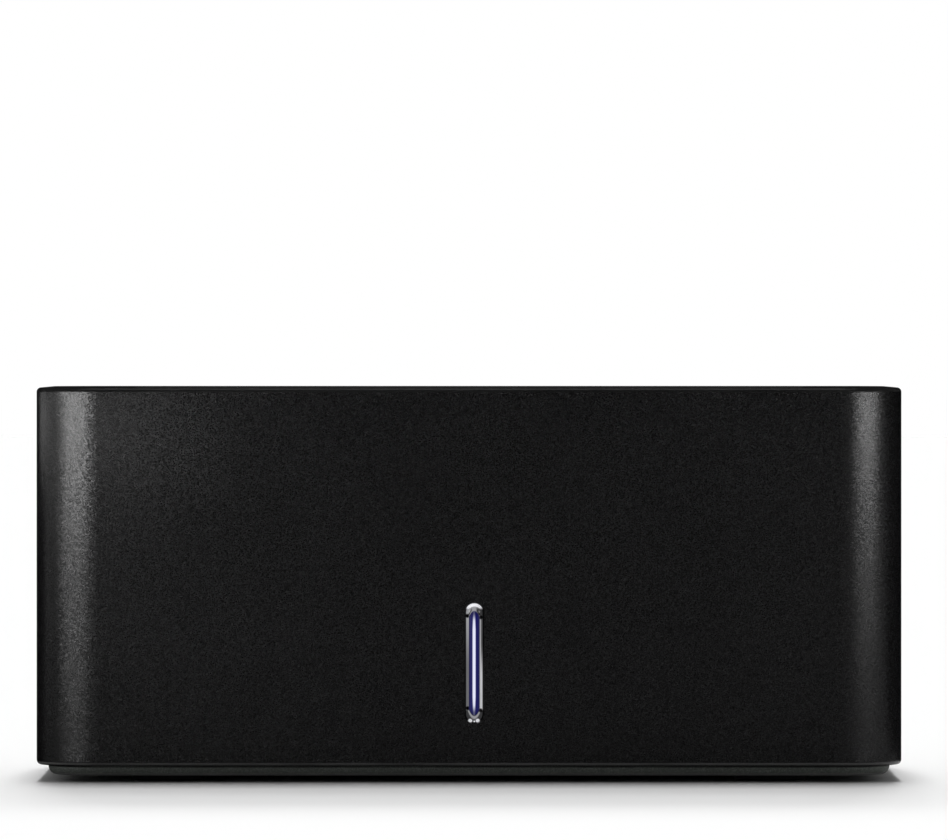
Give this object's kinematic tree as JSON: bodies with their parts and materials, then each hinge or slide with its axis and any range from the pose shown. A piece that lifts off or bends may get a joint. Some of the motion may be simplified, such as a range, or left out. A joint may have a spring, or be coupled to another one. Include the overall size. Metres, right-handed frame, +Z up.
{
  "type": "hard drive docking station",
  "caption": "Desktop dock with a top slot under sprung flaps that takes a bare 3.5 inch or 2.5 inch SATA drive upright, with data, power and switch at the rear and a light strip in front.",
  "frame": {"origin": "on the desk, under the centre of the housing, at the undersides of the feet", "axes": "+X to the right across the front, +Y to the rear, +Z up; the front wall with the light strip faces -Y"},
  "size_m": [0.132, 0.0703, 0.06],
  "materials": {
    "housing_plastic": "black ABS with a fine spark texture",
    "base_plastic": "black ABS, smoother than the housing",
    "bay_plastic": "black moulded ABS",
    "flap_plastic": "black ABS with a fine texture",
    "foot_rubber": "matt black rubber",
    "screw_steel": "zinc plated",
    "rod_steel": "ground steel rod",
    "spring_steel": "drawn spring wire",
    "board_laminate": "glass-fibre laminate with green solder mask",
    "socket_plastic": "black glass-filled nylon",
    "contact_gold": "gold flash over brass",
    "usb_steel": "nickel-plated steel",
    "usb_plastic": "blue nylon",
    "pin_nickel": "nickel plated",
    "switch_plastic": "black nylon",
    "rocker_plastic": "black nylon, lightly polished, with white on and off marks",
    "lead_insulation": "red PVC insulation",
    "clear_acrylic": "clear moulded acrylic, lit blue",
    "led_resin": "blue lamp in a pale resin body",
    "chip_resin": "black moulded resin",
    "ferrite": "grey ferrite",
    "can_aluminium": "drawn aluminium can"
  },
  "bodies": {
    "dock": {"housing": "housing_plastic", "base_plate": "base_plastic", "foot_front_left": "foot_rubber", "foot_front_right": "foot_rubber", "foot_rear_left": "foot_rubber", "foot_rear_right": "foot_rubber", "base_screws": "screw_steel", "drive_bay": "bay_plastic", "bay_screws": "screw_steel", "hinge_rod": "rod_steel", "rod_clips": "screw_steel", "wide_flap_spring": "spring_steel", "narrow_flap_spring": "spring_steel", "main_board": "board_laminate", "board_screws": "screw_steel", "sata_receptacle": "socket_plastic", "sata_contacts": "contact_gold", "usb_shell": "usb_steel", "usb_insulator": "usb_plastic", "usb_contacts": "contact_gold", "dc_jack": "socket_plastic", "dc_jack_pin": "pin_nickel", "switch_frame": "switch_plastic", "switch_terminals": "contact_gold", "switch_leads": "lead_insulation", "light_pipe": "clear_acrylic", "status_led": "led_resin", "bridge_chip": "chip_resin", "firmware_chip": "chip_resin", "crystal": "pin_nickel", "power_inductors": "ferrite", "capacitors": "can_aluminium"},
    "wide_flap": {"wide_flap": "flap_plastic"},
    "narrow_flap": {"narrow_flap": "flap_plastic"},
    "switch_rocker": {"switch_rocker": "rocker_plastic"}
  },
  "joints": [
    {"name": "wide_flap_hinge", "type": "hinge", "parent": "dock", "child": "wide_flap", "pos_m": [-0.0157, -0.0233, 0.0553], "axis": [-1, 0, 0], "range_deg": [0, 90], "stiffness_Nm_per_rad": 0.005, "springref_deg": -45.84, "deforming": ["wide_flap_spring"]},
    {"name": "narrow_flap_hinge", "type": "hinge", "parent": "dock", "child": "narrow_flap", "pos_m": [0.0357, -0.0233, 0.0553], "axis": [-1, 0, 0], "range_deg": [0, 90], "stiffness_Nm_per_rad": 0.005, "springref_deg": -45.84, "deforming": ["narrow_flap_spring"]},
    {"name": "switch_rock", "type": "hinge", "parent": "dock", "child": "switch_rocker", "pos_m": [-0.023, 0.0312, 0.01625], "axis": [0, 0, -1], "range_deg": [0, 16]}
  ]
}
